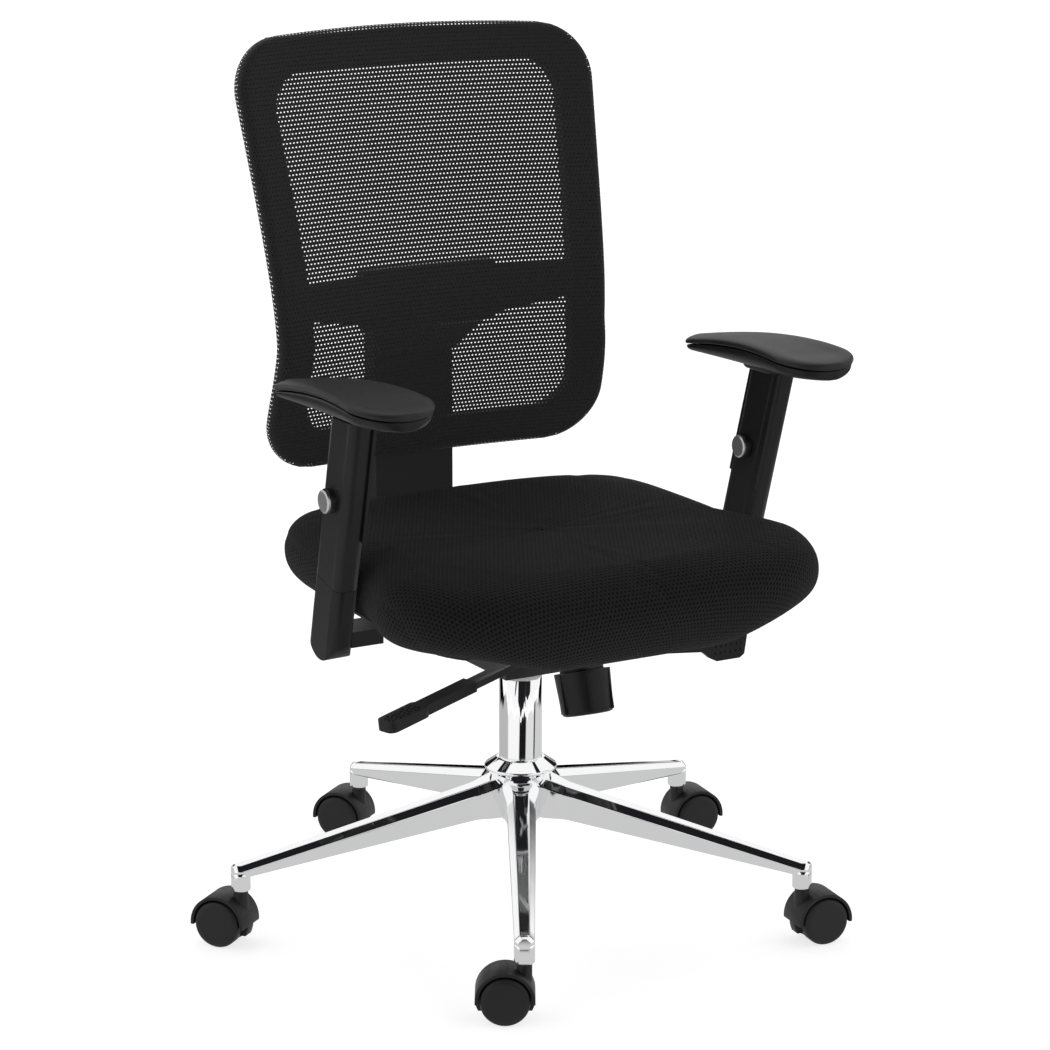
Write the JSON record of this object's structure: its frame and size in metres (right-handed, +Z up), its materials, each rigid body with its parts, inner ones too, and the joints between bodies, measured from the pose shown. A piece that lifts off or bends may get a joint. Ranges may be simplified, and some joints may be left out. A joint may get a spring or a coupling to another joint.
{
  "type": "swivel office chair",
  "caption": "Swivel task chair: chrome star base on twin-wheel casters, gas lift, tilting seat, adjustable armrests and a stretched net back.",
  "frame": {"origin": "on the floor, on the column's axis", "axes": "+Z up, the chair faces -Y, +X is the sitter's left"},
  "size_m": [0.7475, 0.7135, 1.02],
  "materials": {
    "polished_chrome": "mirror polished chrome plate",
    "bright_steel": "turned steel",
    "spring_steel": "oiled spring steel",
    "black_steel": "satin black powder coat",
    "black_bolt": "black oxide",
    "bush_plastic": "light grey acetal",
    "shell_plastic": "black nylon with a fine grained texture",
    "caster_plastic": "black nylon with a slight sheen",
    "silver_button": "satin silver",
    "spacer_fabric": "black knitted spacer mesh over foam",
    "back_net": "black open polyester net, stretched",
    "soft_pad": "black self-skinned polyurethane foam",
    "plywood": "bare plywood"
  },
  "bodies": {
    "base": {"star_base": "polished_chrome", "caster_sockets": "bright_steel", "column_tube": "polished_chrome", "column_bush": "bush_plastic", "thrust_bearing": "bright_steel"},
    "swivel": {"piston_rod": "bright_steel", "rod_clip": "spring_steel"},
    "lift": {"gas_cylinder": "black_steel", "tilt_housing": "black_steel", "pivot_pins": "bright_steel", "tilt_spring": "spring_steel"},
    "release": {"release_pin": "bright_steel"},
    "tension": {"tension_knob": "shell_plastic", "tension_screw": "bright_steel"},
    "spring_seat": {"spring_plate": "bright_steel"},
    "height_lever": {"height_lever_bar": "black_steel", "height_lever_paddle": "shell_plastic"},
    "lock_lever": {"lock_lever_bar": "black_steel", "lock_lever_paddle": "shell_plastic"},
    "seat": {"seat_plate": "black_steel", "seat_board": "plywood", "seat_cushion": "spacer_fabric", "seat_bolts": "black_bolt", "arm_bar_left": "black_steel", "arm_bar_right": "black_steel", "arm_boot_left": "shell_plastic", "arm_boot_right": "shell_plastic"},
    "back": {"back_bar": "shell_plastic", "back_frame": "shell_plastic", "back_mesh": "back_net", "back_bolts": "black_bolt"},
    "armrest_left": {"arm_sleeve_left": "shell_plastic", "arm_pad_base_left": "shell_plastic", "arm_pad_left": "soft_pad"},
    "button_left": {"arm_button_left": "silver_button"},
    "armrest_right": {"arm_sleeve_right": "shell_plastic", "arm_pad_base_right": "shell_plastic", "arm_pad_right": "soft_pad"},
    "button_right": {"arm_button_right": "silver_button"},
    "caster_1": {"caster_1_hood": "caster_plastic", "caster_1_pins": "bright_steel"},
    "wheel_1_left": {"caster_1_wheel_left": "caster_plastic"},
    "wheel_1_right": {"caster_1_wheel_right": "caster_plastic"},
    "caster_2": {"caster_2_hood": "caster_plastic", "caster_2_pins": "bright_steel"},
    "wheel_2_left": {"caster_2_wheel_left": "caster_plastic"},
    "wheel_2_right": {"caster_2_wheel_right": "caster_plastic"},
    "caster_3": {"caster_3_hood": "caster_plastic", "caster_3_pins": "bright_steel"},
    "wheel_3_left": {"caster_3_wheel_left": "caster_plastic"},
    "wheel_3_right": {"caster_3_wheel_right": "caster_plastic"},
    "caster_4": {"caster_4_hood": "caster_plastic", "caster_4_pins": "bright_steel"},
    "wheel_4_left": {"caster_4_wheel_left": "caster_plastic"},
    "wheel_4_right": {"caster_4_wheel_right": "caster_plastic"},
    "caster_5": {"caster_5_hood": "caster_plastic", "caster_5_pins": "bright_steel"},
    "wheel_5_left": {"caster_5_wheel_left": "caster_plastic"},
    "wheel_5_right": {"caster_5_wheel_right": "caster_plastic"}
  },
  "joints": [
    {"name": "seat_swivel", "type": "hinge", "parent": "base", "child": "swivel", "pos_m": [0, 0, 0.127], "axis": [0, 0, 1], "continuous": true},
    {"name": "height_adjust", "type": "slide", "parent": "swivel", "child": "lift", "axis": [0, 0, 1], "range_m": [0, 0.1]},
    {"name": "back_tilt", "type": "hinge", "parent": "lift", "child": "back", "pos_m": [0, 0.035, 0.338], "axis": [-1, 0, 0], "range_deg": [0, 20], "stiffness_Nm_per_rad": 70, "springref_deg": -17.19},
    {"name": "seat_tilt", "type": "hinge", "parent": "lift", "child": "seat", "pos_m": [0, -0.088, 0.358], "axis": [-1, 0, 0], "range_deg": [0, 8]},
    {"name": "height_lever_lift", "type": "hinge", "parent": "lift", "child": "height_lever", "pos_m": [-0.028, -0.066, 0.333], "axis": [0, 1, 0], "range_deg": [0, 8], "stiffness_Nm_per_rad": 0.8, "springref_deg": -5.73},
    {"name": "release_pin_press", "type": "slide", "parent": "lift", "child": "release", "axis": [0, 0, -1], "range_m": [0, 0.004]},
    {"name": "lock_lever_lift", "type": "hinge", "parent": "lift", "child": "lock_lever", "pos_m": [0.054, -0.096, 0.332], "axis": [0, -1, 0], "range_deg": [0, 12]},
    {"name": "tension_knob_turn", "type": "hinge", "parent": "lift", "child": "tension", "pos_m": [0, -0.138, 0.33], "axis": [0, 0.2924, 0.9563], "range_deg": [0, 1440]},
    {"name": "spring_plate_travel", "type": "slide", "parent": "lift", "child": "spring_seat", "axis": [0, 0.2924, 0.9563], "range_m": [0, 0.00605], "deforming": ["tilt_spring"]},
    {"name": "arm_height_left", "type": "slide", "parent": "seat", "child": "armrest_left", "axis": [0.0252, -0.2672, 0.9633], "range_m": [0, 0.07]},
    {"name": "arm_button_press_left", "type": "slide", "parent": "armrest_left", "child": "button_left", "axis": [0.9997, 0, -0.0262], "range_m": [0, 0.003], "stiffness_N_per_m": 600, "springref_m": -0.002},
    {"name": "arm_height_right", "type": "slide", "parent": "seat", "child": "armrest_right", "axis": [-0.0252, -0.2672, 0.9633], "range_m": [0, 0.07]},
    {"name": "arm_button_press_right", "type": "slide", "parent": "armrest_right", "child": "button_right", "axis": [0.9997, 0, 0.0262], "range_m": [0, 0.003], "stiffness_N_per_m": 600, "springref_m": -0.002},
    {"name": "caster_1_swivel", "type": "hinge", "parent": "base", "child": "caster_1", "pos_m": [-0.1659, -0.29563, 0.066], "axis": [0, 0, 1], "continuous": true},
    {"name": "wheel_1_left_spin", "type": "hinge", "parent": "caster_1", "child": "wheel_1_left", "pos_m": [-0.18409, -0.28513, 0.0275], "axis": [-0.5, -0.866, 0], "continuous": true},
    {"name": "wheel_1_right_spin", "type": "hinge", "parent": "caster_1", "child": "wheel_1_right", "pos_m": [-0.18409, -0.28513, 0.0275], "axis": [-0.5, -0.866, 0], "continuous": true},
    {"name": "caster_2_swivel", "type": "hinge", "parent": "base", "child": "caster_2", "pos_m": [0.2299, -0.24914, 0.066], "axis": [0, 0, 1], "continuous": true},
    {"name": "wheel_2_left_spin", "type": "hinge", "parent": "caster_2", "child": "wheel_2_left", "pos_m": [0.25069, -0.25206, 0.0275], "axis": [0.1392, 0.9903, 0], "continuous": true},
    {"name": "wheel_2_right_spin", "type": "hinge", "parent": "caster_2", "child": "wheel_2_right", "pos_m": [0.25069, -0.25206, 0.0275], "axis": [0.1392, 0.9903, 0], "continuous": true},
    {"name": "caster_3_swivel", "type": "hinge", "parent": "base", "child": "caster_3", "pos_m": [0.30798, 0.14166, 0.066], "axis": [0, 0, 1], "continuous": true},
    {"name": "wheel_3_left_spin", "type": "hinge", "parent": "caster_3", "child": "wheel_3_left", "pos_m": [0.32878, 0.13873, 0.0275], "axis": [0.1392, 0.9903, 0], "continuous": true},
    {"name": "wheel_3_right_spin", "type": "hinge", "parent": "caster_3", "child": "wheel_3_right", "pos_m": [0.32878, 0.13873, 0.0275], "axis": [0.1392, 0.9903, 0], "continuous": true},
    {"name": "caster_4_swivel", "type": "hinge", "parent": "base", "child": "caster_4", "pos_m": [-0.03955, 0.33669, 0.066], "axis": [0, 0, 1], "continuous": true},
    {"name": "wheel_4_left_spin", "type": "hinge", "parent": "caster_4", "child": "wheel_4_left", "pos_m": [-0.05248, 0.35323, 0.0275], "axis": [-0.788, -0.6157, 0], "continuous": true},
    {"name": "wheel_4_right_spin", "type": "hinge", "parent": "caster_4", "child": "wheel_4_right", "pos_m": [-0.05248, 0.35323, 0.0275], "axis": [-0.788, -0.6157, 0], "continuous": true},
    {"name": "caster_5_swivel", "type": "hinge", "parent": "base", "child": "caster_5", "pos_m": [-0.33243, 0.06643, 0.066], "axis": [0, 0, 1], "continuous": true},
    {"name": "wheel_5_left_spin", "type": "hinge", "parent": "caster_5", "child": "wheel_5_left", "pos_m": [-0.34536, 0.08297, 0.0275], "axis": [-0.788, -0.6157, 0], "continuous": true},
    {"name": "wheel_5_right_spin", "type": "hinge", "parent": "caster_5", "child": "wheel_5_right", "pos_m": [-0.34536, 0.08297, 0.0275], "axis": [-0.788, -0.6157, 0], "continuous": true}
  ],
  "couplings": [
    {"joint": "seat_tilt", "follows": "back_tilt", "ratio": 0.4},
    {"joint": "release_pin_press", "follows": "height_lever_lift", "m_per_rad": 0.028},
    {"joint": "spring_plate_travel", "follows": "tension_knob_turn", "m_per_rad": 0.00023873}
  ]
}
